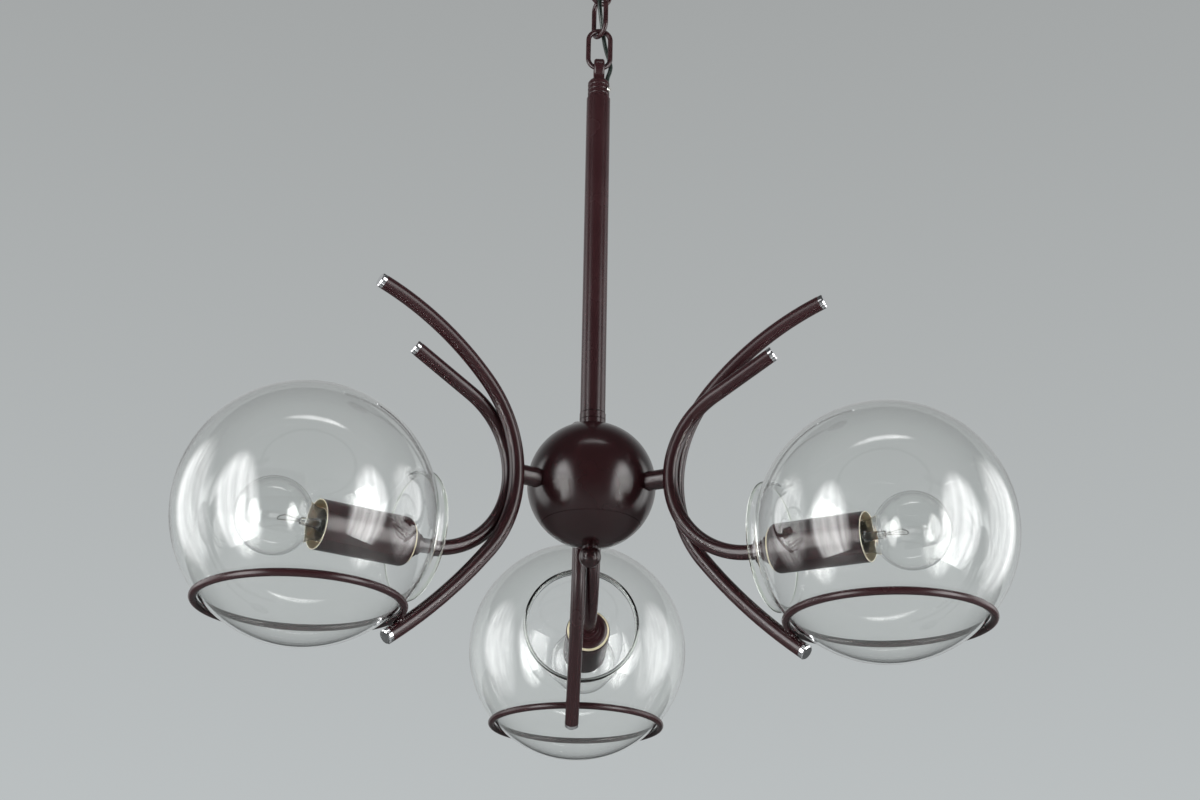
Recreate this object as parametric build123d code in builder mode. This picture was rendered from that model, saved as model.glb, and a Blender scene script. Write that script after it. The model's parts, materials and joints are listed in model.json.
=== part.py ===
"""Three-arm chandelier: ball hub on a straight stem, hung by a short chain from a ceiling canopy.

Millimetres, +Z up.  The origin is the centre of the crossbar's top face, flat on the ceiling.
Every arm is a pair of bent tubes side by side.  The long tube carries a wire ring in which a
glass globe rests, and the lamp tube enters the globe through its side opening.
"""
import math
import os

from build123d import *

# ---------------------------------------------------------------- driving dimensions
ceiling_to_hub = 566.0          # drop from the ceiling to the centre of the ball hub
arm_azimuths = (90.0, 210.0, 330.0)

hub_radius = 53.0
hub_wall = 1.5
cap_seam_height = -34.0         # the loose lower cap starts here, measured from the hub centre
stem_radius = 10.5
stem_wall = 1.5
stem_bottom = 63.0              # heights from here on are above the hub centre
stem_top = 365.0
loop_collar_top = 382.0
eye_height = 393.9
eye_radius = 10.4
eye_hole_radius = 5.0
eye_thickness = 9.4

link_wire = 4.4
link_length = 43.0
link_width = 24.0
link_gap = 0.3                  # free play between two links
first_link_bottom = 394.0
link_turns = (0.0, 120.0, 30.0)
link_pitch = link_length - 2 * link_wire - link_gap

canopy_radius = 62.5
canopy_depth = 39.0
canopy_wall = 1.2
crossbar_size = (104.0, 18.0, 2.5)
screw_spacing = 88.9
screw_hole_radius = 2.4

tube_radius = 6.0
tube_wall = 1.2
tube_offset = 6.15              # each tube's axis stands this far to its side of the arm's plane
tube_reach = 74.5               # radius at which both tubes stand upright beside the hub
arm_height = -6.0               # height at which they stand upright
long_mid_height = -8.0
long_bow_radius = 108.0
long_upper_turn = 44.0
long_upper_radius = 239.0
long_upper_sweep = 27.8
long_lower_turn = 38.0
long_lower_radius = 470.0
long_lower_sweep = 14.3
lamp_bow_radius = 72.0
lamp_upper_turn = 62.0
lamp_upper_straight = 56.5
stub_radius = 8.0
stub_wall = 1.8
stub_height = arm_height + 2.0
plug_length = 4.0

globe_radius = 100.0
globe_wall = 2.0
globe_reach = 252.0
globe_height = -74.0
neck_radius = 49.0
lip_radius = 51.5
lip_distance = 92.5
ring_wire_radius = 3.0
ring_radius = 77.0
ring_clearance = 0.3

lamp_height = arm_height - lamp_bow_radius
cup_back = 161.0
cup_mouth = 240.0
cup_radius = 19.5
cup_wall = 1.0
shell_radius = 13.45            # inside of the screw shell
base_radius = 13.05             # outside of the bulb's screw base
bulb_radius = 30.0
bulb_reach = 274.5
bulb_glass = 0.6
bulb_tip_reach = 210.0

cord_radius = 1.9
wire_radius = 1.3

hub_z = -ceiling_to_hub
os.makedirs("parts", exist_ok=True)


def save(builder, label):
    """Label a finished piece and write it under the same name."""
    builder.part.label = label
    export_step(builder.part, f"parts/{label}.step")


def axis_plane(azimuth=0.0, side=0.0, height=0.0):
    """Upright plane through the stem's axis: x runs outwards, y runs up, moved sideways by side."""
    turn = Plane.XY.rotated((0, 0, azimuth))
    origin = turn.from_local_coords(Vector(0, side, hub_z + height))
    return Plane(origin=origin, x_dir=turn.x_dir, z_dir=-turn.y_dir)


def turned_point(azimuth, reach, side, height):
    """A point given by its reach from the stem's axis, its side step and its height over the hub."""
    return axis_plane(azimuth, side, height).from_local_coords(Vector(reach, 0, 0))


def across_plane(azimuth, reach, side, height):
    """Plane that faces outwards along an arm, at a given point."""
    upright = axis_plane(azimuth, side, height)
    return Plane(
        origin=upright.from_local_coords(Vector(reach, 0, 0)), x_dir=upright.z_dir, z_dir=upright.x_dir
    )


def run_axis(plane):
    """The line along a plane's x direction."""
    return Axis(plane.origin, plane.x_dir)


def stem_axis():
    return Axis((0, 0, 0), (0, 0, 1))


# ---------------------------------------------------------------- ceiling fitting
nipple_radius = 5.0
nipple_wall = 1.6
nipple_top = 1.0                # below the crossbar's top face
nipple_bottom = 32.0
boss_wall = 3.5
boss_height = 4.0
loop_body_radius = 12.7
loop_body_top = ceiling_to_hub - 24.0
loop_body_bottom = ceiling_to_hub - 49.5
loop_bore_depth = 10.0
collar_radius = 17.0
collar_height = 7.5
knurl_band = 2.2
knurl_count = 36
knurl_radius = 0.45
thread_play = 0.08
screw_play = 0.05
canopy_rim = 5.0
canopy_hole = loop_body_radius + 0.6
loop_wire = 5.0
canopy_floor = ceiling_to_hub - canopy_depth

with BuildPart() as crossbar:
    with BuildSketch(Plane.XY.offset(-crossbar_size[2])):
        SlotOverall(crossbar_size[0], crossbar_size[1])
        with Locations((-screw_spacing / 2, 0), (screw_spacing / 2, 0)):
            Circle(screw_hole_radius, mode=Mode.SUBTRACT)
        Circle(nipple_radius + screw_play, mode=Mode.SUBTRACT)
    extrude(amount=crossbar_size[2])
    with BuildSketch(Plane.XY.offset(-crossbar_size[2] - boss_height)):
        Circle(nipple_radius + boss_wall)
        Circle(nipple_radius + screw_play, mode=Mode.SUBTRACT)
    extrude(amount=boss_height)
save(crossbar, "crossbar")

with BuildPart() as canopy_nipple:
    with BuildSketch(Plane.XY.offset(-nipple_bottom)):
        Circle(nipple_radius)
        Circle(nipple_radius - nipple_wall, mode=Mode.SUBTRACT)
    extrude(amount=nipple_bottom - nipple_top)
    chamfer(canopy_nipple.edges().filter_by(GeomType.CIRCLE), 0.4)
save(canopy_nipple, "canopy_nipple")

with BuildPart() as canopy:
    with BuildSketch(axis_plane()):
        with BuildLine():
            rim = Line((canopy_radius, ceiling_to_hub), (canopy_radius, ceiling_to_hub - canopy_rim))
            shoulder = Spline(
                rim @ 1,
                (canopy_radius * 0.66, canopy_floor + 13.0),
                (collar_radius + 1.5, canopy_floor),
                tangents=((0, -1), (-1, -0.12)),
            )
            floor = Line(shoulder @ 1, (canopy_hole, canopy_floor))
            Line(floor @ 1, (canopy_hole, ceiling_to_hub))
            Line((canopy_hole, ceiling_to_hub), rim @ 0)
        make_face()
        with BuildLine():
            inner_rim = Line(
                (canopy_radius - canopy_wall, ceiling_to_hub),
                (canopy_radius - canopy_wall, ceiling_to_hub - canopy_rim),
            )
            inner_shoulder = Spline(
                inner_rim @ 1,
                (canopy_radius * 0.66 - 0.5, canopy_floor + 13.0 + canopy_wall),
                (collar_radius + 1.0, canopy_floor + canopy_wall),
                tangents=((0, -1), (-1, -0.12)),
            )
            inner_floor = Line(inner_shoulder @ 1, (0, canopy_floor + canopy_wall))
            Line(inner_floor @ 1, (0, ceiling_to_hub))
            Line((0, ceiling_to_hub), inner_rim @ 0)
        make_face(mode=Mode.SUBTRACT)
    revolve(axis=stem_axis())
save(canopy, "canopy")

# The loop hangs from the nipple: a threaded drum, a ring under it, and a hole for the cord.
loop_hole_radius = 7.0
last_link_top = first_link_bottom + 2 * link_pitch + link_length
loop_ring_height = last_link_top - link_wire - link_gap + loop_hole_radius
loop_ring_radius = loop_hole_radius + loop_wire
loop_turn = link_turns[2] + 90.0
cord_way_turn = 75.0
cord_way_reach = 8.6

with BuildPart() as canopy_loop:
    with BuildSketch(Plane.XY.offset(hub_z + loop_body_bottom)):
        Circle(loop_body_radius)
    extrude(amount=loop_body_top - loop_body_bottom)
    loop_plane = axis_plane(loop_turn, 0.0, loop_ring_height)
    with BuildSketch(loop_plane):
        Circle(loop_ring_radius)
    extrude(amount=loop_wire / 2, both=True)
    with BuildSketch(loop_plane):
        Circle(loop_hole_radius)
    extrude(amount=loop_wire, both=True, mode=Mode.SUBTRACT)
    with BuildSketch(Plane.XY.offset(hub_z + loop_body_bottom)):
        Circle(loop_body_radius)
    extrude(amount=loop_body_top - loop_body_bottom)
    ring_rims = canopy_loop.edges().filter_by(
        lambda edge: edge.geom_type == GeomType.CIRCLE
        and abs(edge.arc_center.Z - hub_z - loop_ring_height) < 0.01
    )
    fillet(ring_rims, loop_wire / 2 - 0.3)
    with BuildSketch(Plane.XY.offset(hub_z + loop_body_top - loop_bore_depth)):
        Circle(nipple_radius + screw_play)
    extrude(amount=loop_bore_depth, mode=Mode.SUBTRACT)
    with BuildSketch(Plane.XY.offset(hub_z + loop_body_bottom - 1.0)):
        with PolarLocations(cord_way_reach, 1, start_angle=cord_way_turn):
            Circle(cord_radius + 0.4)
    extrude(amount=40.0, mode=Mode.SUBTRACT)
save(canopy_loop, "canopy_loop")

with BuildPart() as loop_collar:
    with BuildSketch(Plane.XY.offset(hub_z + canopy_floor - collar_height - 0.1)):
        Circle(collar_radius)
        Circle(loop_body_radius + thread_play, mode=Mode.SUBTRACT)
    extrude(amount=collar_height)
    outer_edges = loop_collar.edges().filter_by(GeomType.CIRCLE).group_by(SortBy.RADIUS)[-1]
    fillet(outer_edges.sort_by(Axis.Z)[0], 2.5)
    with BuildSketch(Plane.XY.offset(hub_z + canopy_floor - knurl_band)):
        with PolarLocations(collar_radius, knurl_count):
            Circle(knurl_radius)
    extrude(amount=-knurl_band, mode=Mode.SUBTRACT)
save(loop_collar, "loop_collar")

# ---------------------------------------------------------------- chain
link_bend = (link_width - link_wire) / 2
link_straight = link_length - link_width

for number, turn in enumerate(link_turns, start=1):
    link_centre = first_link_bottom + (number - 1) * link_pitch + link_length / 2
    link_plane = axis_plane(turn, 0.0, link_centre)
    with BuildPart() as chain_link:
        with BuildLine(link_plane):
            side = Line((link_bend, -link_straight / 2), (link_bend, link_straight / 2))
            CenterArc((0, link_straight / 2), link_bend, 0, 180)
            Line((-link_bend, link_straight / 2), (-link_bend, -link_straight / 2))
            CenterArc((0, -link_straight / 2), link_bend, 180, 180)
        with BuildSketch(Plane(origin=side @ 0, z_dir=side % 0)):
            Circle(link_wire / 2)
        sweep()
    save(chain_link, f"chain_link_{number}")

# ---------------------------------------------------------------- stem
groove_heights = (367.6, 372.0, 376.4)
groove_radius = 0.9
collar_top_radius = 9.6         # the turned plug above the tube
collar_top_chamfer = (1.2, 2.0)
plug_depth = 12.0
plug_radius_in_stem = stem_radius - stem_wall - 0.05
eye_neck_width = 13.0
screw_height = 372.0
screw_radius = 1.5
screw_grip = 2.2
screw_azimuth = -30.0
screw_turn = Plane.XY.rotated((0, 0, screw_azimuth))
screw_plane = Plane(
    origin=turned_point(screw_azimuth, collar_top_radius, 0.0, screw_height),
    x_dir=screw_turn.y_dir,
    z_dir=screw_turn.x_dir,
)
cord_entry_reach = 7.1

with BuildPart() as stem_loop:
    with BuildSketch(axis_plane()):
        with BuildLine():
            Polyline(
                (0, stem_top - plug_depth),
                (plug_radius_in_stem, stem_top - plug_depth),
                (plug_radius_in_stem, stem_top),
                (collar_top_radius, stem_top),
                (collar_top_radius, loop_collar_top - collar_top_chamfer[1]),
                (collar_top_radius - collar_top_chamfer[0], loop_collar_top),
                (0, loop_collar_top),
                close=True,
            )
        make_face()
        with Locations(*[(collar_top_radius + 0.35, height) for height in groove_heights]):
            Circle(groove_radius, mode=Mode.SUBTRACT)
    revolve(axis=stem_axis())
    with BuildSketch(Plane(origin=(0, 0, hub_z), x_dir=(0, 1, 0), z_dir=(1, 0, 0))):
        with Locations((0, eye_height)):
            Circle(eye_radius)
        with Locations((0, (loop_collar_top + eye_height) / 2 - 1.0)):
            Rectangle(eye_neck_width, eye_height - loop_collar_top + 2.0)
    extrude(amount=eye_thickness / 2, both=True)
    with BuildSketch(Plane(origin=(0, 0, hub_z), x_dir=(0, 1, 0), z_dir=(1, 0, 0))):
        with Locations((0, eye_height)):
            Circle(eye_hole_radius)
    extrude(amount=eye_thickness, both=True, mode=Mode.SUBTRACT)
    crown = stem_loop.edges().filter_by(
        lambda edge: edge.geom_type == GeomType.CIRCLE
        and abs(edge.radius - eye_radius) < 0.01
        and abs(edge.arc_center.Z - hub_z - eye_height) < 0.01
    )
    fillet(crown, 2.2)
    eye_rims = stem_loop.edges().filter_by(
        lambda edge: edge.geom_type == GeomType.CIRCLE
        and abs(edge.radius - eye_hole_radius) < 0.01
        and abs(edge.arc_center.Z - hub_z - eye_height) < 0.01
    )
    fillet(eye_rims, 3.0)
    with BuildSketch(Plane.XY.offset(hub_z + stem_top - 13.0)):
        with Locations((cord_entry_reach, 0)):
            Circle(cord_radius + 0.3)
    extrude(amount=loop_collar_top - stem_top + 14.0, mode=Mode.SUBTRACT)
    with BuildSketch(screw_plane):
        Circle(screw_radius)
    extrude(amount=-screw_grip, mode=Mode.SUBTRACT)
save(stem_loop, "stem_loop")

with BuildPart() as loop_screw:
    with BuildSketch(screw_plane):
        Circle(screw_radius - 0.02)
    extrude(amount=-screw_grip + 0.5)
    with BuildSketch(screw_plane):
        Circle(screw_radius + 0.9)
    extrude(amount=1.6)
    fillet(loop_screw.edges().filter_by(GeomType.CIRCLE).sort_by_distance(screw_plane.origin)[-1], 0.6)
    with BuildSketch(screw_plane.offset(1.6)):
        Rectangle(5.0, 0.6)
    extrude(amount=-0.6, mode=Mode.SUBTRACT)
save(loop_screw, "loop_screw")

with BuildPart() as stem:
    with BuildSketch(Plane.XY.offset(hub_z + stem_bottom + 0.4)):
        Circle(stem_radius)
        Circle(stem_radius - stem_wall, mode=Mode.SUBTRACT)
    extrude(amount=stem_top - stem_bottom - 0.4)
    top_rim = stem.edges().filter_by(GeomType.CIRCLE).group_by(Axis.Z)[-1].sort_by(SortBy.RADIUS)[-1]
    chamfer(top_rim, 1.0)
save(stem, "stem")

collar_outer = 10.9
spindle_radius = 5.0
spindle_bore = 3.2
spindle_flange = 15.0
collar_seat = (hub_radius**2 - collar_outer**2) ** 0.5
collar_groove = 57.0

with BuildPart() as stem_collar:
    with BuildSketch(axis_plane()):
        with BuildLine():
            Polyline(
                (stem_radius - stem_wall, collar_seat),
                (collar_outer, collar_seat),
                (collar_outer, collar_groove - 0.3),
                (collar_outer - 0.5, collar_groove),
                (collar_outer, collar_groove + 0.3),
                (collar_outer, stem_bottom - 0.4),
                (collar_outer - 0.4, stem_bottom),
                (stem_radius - stem_wall, stem_bottom),
                close=True,
            )
        make_face()
    revolve(axis=stem_axis())
save(stem_collar, "stem_collar")

# The spindle clamps the shell against the collar, carries the lower cap, and lets the wires out.
spindle_bottom = -61.0
spindle_top = 78.0
flange_top = collar_seat - hub_wall - 0.3
window_bottom = 22.0
window_top = 37.0

with BuildPart() as hub_spindle:
    with BuildSketch(axis_plane()):
        with BuildLine():
            Polyline(
                (spindle_bore, spindle_bottom + 22.0),
                (spindle_bore, spindle_top),
                (stem_radius - stem_wall - 0.05, spindle_top),
                (stem_radius - stem_wall - 0.05, flange_top),
                (spindle_flange - 3.0, flange_top - 1.2),
                (spindle_flange - 3.0, flange_top - 3.5),
                (spindle_radius, flange_top - 3.5),
                (spindle_radius, spindle_bottom),
                (0, spindle_bottom),
                (0, spindle_bottom + 22.0),
                close=True,
            )
        make_face()
    revolve(axis=stem_axis())
    with BuildSketch(Plane.XY.offset(hub_z + window_bottom)):
        with Locations((4.0, 0)):
            Rectangle(8.0, 2 * cord_radius + 1.2)
    extrude(amount=window_top - window_bottom, mode=Mode.SUBTRACT)
save(hub_spindle, "hub_spindle")

# ---------------------------------------------------------------- ball hub
seam_gap = 0.3
shell_hole_radius = stem_radius - stem_wall

with BuildPart() as hub_shell:
    with Locations((0, 0, hub_z)):
        Sphere(hub_radius)
        Sphere(hub_radius - hub_wall, mode=Mode.SUBTRACT)
    split(bisect_by=Plane.XY.offset(hub_z + cap_seam_height), keep=Keep.TOP)
    with BuildSketch(Plane.XY.offset(hub_z)):
        Circle(shell_hole_radius)
    extrude(amount=hub_radius + 1.0, mode=Mode.SUBTRACT)
    with BuildSketch(Plane.XY.offset(hub_z + collar_seat)):
        Circle(hub_radius)
    extrude(amount=10.0, mode=Mode.SUBTRACT)
    for azimuth in arm_azimuths:
        with BuildSketch(across_plane(azimuth, 0.0, 0.0, stub_height)):
            Circle(stub_radius - 0.5)
        extrude(amount=hub_radius + 5.0, mode=Mode.SUBTRACT)
save(hub_shell, "hub_shell")

with BuildPart() as hub_cap:
    with Locations((0, 0, hub_z)):
        Sphere(hub_radius)
        Sphere(hub_radius - hub_wall, mode=Mode.SUBTRACT)
    split(bisect_by=Plane.XY.offset(hub_z + cap_seam_height - seam_gap), keep=Keep.BOTTOM)
    with BuildSketch(Plane.XY.offset(hub_z - hub_radius - 1.0)):
        Circle(spindle_radius + 0.1)
    extrude(amount=10.0, mode=Mode.SUBTRACT)
save(hub_cap, "hub_cap")

finial_radius = 9.0
finial_centre = -hub_radius - finial_radius + 0.6

with BuildPart() as finial:
    with Locations((0, 0, hub_z + finial_centre)):
        Sphere(finial_radius)
    with BuildSketch(Plane.XY.offset(hub_z - hub_radius - 2.0)):
        Circle(6.5)
    extrude(amount=2.6)
    with Locations((0, 0, hub_z)):
        Sphere(hub_radius + seam_gap, mode=Mode.SUBTRACT)
    with BuildSketch(Plane.XY.offset(hub_z + spindle_bottom - 0.5)):
        Circle(spindle_radius + 0.05)
    extrude(amount=20.0, mode=Mode.SUBTRACT)
save(finial, "finial")

wire_nut_reach = 20.0
wire_nut_height = (window_bottom + window_top) / 2 - 3.5

with BuildPart() as wire_connectors:
    for azimuth in (0.0, 180.0):
        nut_plane = axis_plane(azimuth, 0.0, wire_nut_height)
        with BuildSketch(nut_plane):
            with BuildLine():
                Polyline((wire_nut_reach, 0), (wire_nut_reach, 6.0), (38.0, 3.5), (39.5, 0), close=True)
            make_face()
        revolve(axis=run_axis(nut_plane))
save(wire_connectors, "wire_connectors")

# ---------------------------------------------------------------- arms: stubs and bent tubes
plug_radius = tube_radius + 0.1
plug_grip = 5.0
plug_play = 0.15
ring_contact = globe_radius + ring_wire_radius + ring_clearance
ring_height = globe_height - (ring_contact**2 - ring_radius**2) ** 0.5
lamp_tube_end = cup_back + 6.0
bead_radius = 2.3
bead_step = 3.4
ring_joint_gap = 0.6              # degrees; the wire's ends meet under the braze on the long tube
wire_hole_radius = 2.4
wire_side = -4.9


def long_tube_path(azimuth):
    """Long tube's centre line: a C in its own upright plane."""
    start = (tube_reach, long_mid_height)
    with BuildLine(axis_plane(azimuth, tube_offset)) as line:
        up = JernArc(start, (0, 1), long_bow_radius, -long_upper_turn)
        JernArc(up @ 1, up % 1, long_upper_radius, -long_upper_sweep)
        down = JernArc(start, (0, -1), long_bow_radius, long_lower_turn)
        JernArc(down @ 1, down % 1, long_lower_radius, long_lower_sweep)
    return line.wires()[0]


def lamp_tube_path(azimuth):
    """Lamp tube's centre line: from its raised end, round beside the hub, out to the lamp-holder."""
    start = (tube_reach, arm_height)
    with BuildLine(axis_plane(azimuth, -tube_offset)) as line:
        up = JernArc(start, (0, 1), lamp_bow_radius, -lamp_upper_turn)
        Line(up @ 1, (up @ 1) + (up % 1) * lamp_upper_straight)
        down = JernArc(start, (0, -1), lamp_bow_radius, 90.0)
        Line(down @ 1, (lamp_tube_end, lamp_height))
    return line.wires()[0]


def end_planes(path):
    """Planes at a path's two ends, facing out of it, the higher end first."""
    first = Plane(origin=path @ 0, z_dir=(path % 0) * -1)
    last = Plane(origin=path @ 1, z_dir=path % 1)
    return sorted([first, last], key=lambda plane: -plane.origin.Z)


def bent_bar(path, radius):
    """Solid round bar along a path, used to trim what meets a tube."""
    with BuildPart() as bar:
        with BuildSketch(Plane(origin=path @ 0, z_dir=path % 0)):
            Circle(radius)
        sweep(path=path)
    return bar.part


long_paths = [long_tube_path(azimuth) for azimuth in arm_azimuths]
lamp_paths = [lamp_tube_path(azimuth) for azimuth in arm_azimuths]
long_bars = [bent_bar(path, tube_radius) for path in long_paths]
lamp_bars = [bent_bar(path, tube_radius) for path in lamp_paths]

for number, path in enumerate(long_paths, start=1):
    with BuildPart() as long_tube:
        with BuildSketch(Plane(origin=path @ 0, z_dir=path % 0)):
            Circle(tube_radius)
            Circle(tube_radius - tube_wall, mode=Mode.SUBTRACT)
        sweep(path=path)
    save(long_tube, f"long_tube_{number}")

for number, (azimuth, path) in enumerate(zip(arm_azimuths, lamp_paths), start=1):
    with BuildPart() as lamp_tube:
        with BuildSketch(Plane(origin=path @ 0, z_dir=path % 0)):
            Circle(tube_radius)
            Circle(tube_radius - tube_wall, mode=Mode.SUBTRACT)
        sweep(path=path)
        with BuildSketch(across_plane(azimuth, tube_reach - tube_radius - 2.0, wire_side, stub_height)):
            Circle(wire_hole_radius)
        extrude(amount=tube_radius, mode=Mode.SUBTRACT)
    save(lamp_tube, f"lamp_tube_{number}")

with BuildPart() as arm_stubs:
    for azimuth in arm_azimuths:
        with BuildSketch(across_plane(azimuth, hub_radius - 5.0, 0.0, stub_height)):
            Circle(stub_radius)
        extrude(amount=tube_reach - hub_radius + 4.0)
    with Locations((0, 0, hub_z)):
        Sphere(hub_radius, mode=Mode.SUBTRACT)
    for azimuth in arm_azimuths:
        with BuildSketch(across_plane(azimuth, hub_radius - 8.0, 0.0, stub_height)):
            Circle(stub_radius - 0.55)
        extrude(amount=10.0)
        with BuildSketch(across_plane(azimuth, hub_radius - 10.0, 0.0, stub_height)):
            Circle(stub_radius - stub_wall)
        extrude(amount=tube_reach - hub_radius + 10.0, mode=Mode.SUBTRACT)
    for bar in long_bars + lamp_bars:
        add(bar, mode=Mode.SUBTRACT)
save(arm_stubs, "arm_stubs")

with BuildPart() as end_caps:
    for ends in [end_planes(path) for path in long_paths] + [end_planes(path)[:1] for path in lamp_paths]:
        for end in ends:
            with BuildSketch(end):
                Circle(plug_radius)
            extrude(amount=plug_length - 1.0)
            with BuildSketch(end.offset(plug_length - 1.0)):
                Circle(plug_radius)
            extrude(amount=1.0, taper=40)
            with BuildSketch(end):
                Circle(tube_radius - tube_wall - plug_play)
            extrude(amount=-plug_grip)
save(end_caps, "end_caps")

# ---------------------------------------------------------------- globe rings and globes
for number, (azimuth, bar) in enumerate(zip(arm_azimuths, long_bars), start=1):
    ring_centre = turned_point(azimuth, globe_reach, 0.0, ring_height)
    contact_reach = globe_reach - (ring_radius**2 - tube_offset**2) ** 0.5
    joint_azimuth = azimuth + 180.0 - math.degrees(math.asin(tube_offset / ring_radius))
    ring_start = Plane.XY.rotated((0, 0, joint_azimuth + ring_joint_gap / 2))
    with BuildPart() as globe_ring:
        with BuildSketch(Plane(origin=ring_centre, x_dir=ring_start.x_dir, z_dir=-ring_start.y_dir)):
            with Locations((ring_radius, 0)):
                Circle(ring_wire_radius)
        revolve(axis=Axis(ring_centre, (0, 0, 1)), revolution_arc=360.0 - ring_joint_gap)
        with Locations(turned_point(azimuth, contact_reach, tube_offset, ring_height)):
            Sphere(ring_wire_radius + 0.15)
        for side in (tube_offset - bead_step, tube_offset + bead_step):
            with Locations(turned_point(azimuth, contact_reach - 1.2, side, ring_height - 2.6)):
                Sphere(bead_radius)
        add(bar, mode=Mode.SUBTRACT)
    save(globe_ring, f"globe_ring_{number}")

neck_start = 51.0
neck_start_distance = (globe_radius**2 - neck_start**2) ** 0.5
inner_radius = globe_radius - globe_wall
inner_start = neck_start - globe_wall - 0.4
inner_start_distance = (inner_radius**2 - inner_start**2) ** 0.5
rim_half = globe_wall / 2 + 0.2

for number, azimuth in enumerate(arm_azimuths, start=1):
    globe_plane = axis_plane(azimuth, 0.0, globe_height)
    opening = globe_reach - lip_distance
    with BuildPart() as globe:
        with BuildSketch(globe_plane):
            with BuildLine():
                outer_start = (globe_reach - neck_start_distance, neck_start)
                crown_arc = ThreePointArc(
                    (globe_reach + globe_radius, 0), (globe_reach, globe_radius), outer_start
                )
                outer_neck = Spline(
                    outer_start,
                    (opening + 3.2, neck_radius + 0.4),
                    (opening, lip_radius),
                    tangents=(crown_arc % 1, (-0.5, 0.87)),
                )
                lip_tip = (opening - 1.1, lip_radius - 0.6)
                lip_inner = (opening - 0.4, lip_radius - globe_wall - 0.4)
                ThreePointArc(outer_neck @ 1, lip_tip, lip_inner)
                inner_neck = Spline(
                    lip_inner,
                    (opening + 3.2, neck_radius - globe_wall + 0.2),
                    (globe_reach - inner_start_distance, inner_start),
                    tangents=((0.6, -0.8), (inner_start / inner_radius, inner_start_distance / inner_radius)),
                )
                inner_arc = ThreePointArc(
                    inner_neck @ 1, (globe_reach, inner_radius), (globe_reach + inner_radius, 0)
                )
                Line(inner_arc @ 1, (globe_reach + globe_radius, 0))
            make_face()
        revolve(axis=run_axis(globe_plane))
    save(globe, f"globe_{number}")

# ---------------------------------------------------------------- lamp-holders
nut_back = cup_back - 9.0
nut_step = cup_back - 5.0
insulator_back = cup_back + 7.0
insulator_front = 226.0
shell_back = 209.0
shell_front = 233.0
shell_wall = 0.5

with BuildPart() as cup_nuts:
    for azimuth in arm_azimuths:
        lamp_plane = axis_plane(azimuth, -tube_offset, lamp_height)
        with BuildSketch(lamp_plane):
            with BuildLine():
                Polyline(
                    (nut_back, tube_radius + 0.05),
                    (nut_back, 8.4),
                    (nut_step - 0.6, 8.4),
                    (nut_step, 8.9),
                    (nut_step, 10.6),
                    (cup_back - 0.8, 11.4),
                    (cup_back, 11.4),
                    (cup_back, tube_radius + 0.05),
                    close=True,
                )
            make_face()
        revolve(axis=run_axis(lamp_plane))
save(cup_nuts, "cup_nuts")

for number, azimuth in enumerate(arm_azimuths, start=1):
    lamp_plane = axis_plane(azimuth, -tube_offset, lamp_height)
    lamp_axis = run_axis(lamp_plane)

    with BuildPart() as lamp_cup:
        with BuildSketch(lamp_plane) as cup_profile:
            with BuildLine():
                Polyline(
                    (cup_back, tube_radius + 0.05),
                    (cup_back, cup_radius),
                    (cup_mouth, cup_radius),
                    (cup_mouth, cup_radius - cup_wall),
                    (cup_back + cup_wall, cup_radius - cup_wall),
                    (cup_back + cup_wall, tube_radius + 0.05),
                    close=True,
                )
            make_face()
            fillet(cup_profile.vertices().sort_by_distance(Vector(cup_back, cup_radius, 0))[0], 6.5)
            inner_corner = Vector(cup_back + cup_wall, cup_radius - cup_wall, 0)
            fillet(cup_profile.vertices().sort_by_distance(inner_corner)[0], 5.5)
        revolve(axis=lamp_axis)
    save(lamp_cup, f"lamp_cup_{number}")

    with BuildPart() as socket_body:
        with BuildSketch(lamp_plane):
            with BuildLine():
                Polyline(
                    (insulator_back, 3.2),
                    (insulator_back, cup_radius - cup_wall - 6.0),
                    (insulator_back + 6.0, cup_radius - cup_wall - 0.3),
                    (insulator_front - 1.0, cup_radius - cup_wall - 0.3),
                    (insulator_front, cup_radius - cup_wall - 1.3),
                    (insulator_front, shell_radius + shell_wall + 0.05),
                    (shell_back - 0.5, shell_radius + shell_wall + 0.05),
                    (shell_back - 0.5, 3.2),
                    close=True,
                )
            make_face()
        revolve(axis=lamp_axis)
    save(socket_body, f"socket_body_{number}")

    with BuildPart() as screw_shell:
        with BuildSketch(lamp_plane):
            with BuildLine():
                Polyline(
                    (shell_back, 9.0),
                    (shell_back, shell_radius + shell_wall),
                    (shell_front, shell_radius + shell_wall),
                    (shell_front, shell_radius),
                    (shell_back + shell_wall, shell_radius),
                    (shell_back + shell_wall, 9.0),
                    close=True,
                )
            make_face()
        revolve(axis=lamp_axis)
    save(screw_shell, f"screw_shell_{number}")

with BuildPart() as centre_contacts:
    for azimuth in arm_azimuths:
        lamp_plane = axis_plane(azimuth, -tube_offset, lamp_height)
        with BuildSketch(lamp_plane):
            with BuildLine():
                Polyline(
                    (shell_back - 12.0, 0),
                    (shell_back - 12.0, 2.6),
                    (shell_back - 0.5, 2.6),
                    (shell_back - 0.5, 5.5),
                    (shell_back + 0.1, 5.5),
                    (bulb_tip_reach - 0.3, 2.0),
                    (bulb_tip_reach - 0.3, 0),
                    close=True,
                )
            make_face()
        revolve(axis=run_axis(lamp_plane))
save(centre_contacts, "centre_contacts")

# ---------------------------------------------------------------- bulbs
base_back = bulb_tip_reach + 2.6
base_front = bulb_tip_reach + 27.0
base_wall = 0.4
base_taper = 2.4
bulb_neck_radius = base_radius - base_wall - 0.05
bulb_neck_back = base_front - 11.0
bulb_neck_front = base_front + 2.0
crown_angle = 138.0
stem_tip = 254.0
lead_spread = 7.0
filament_reach = 268.0

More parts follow.
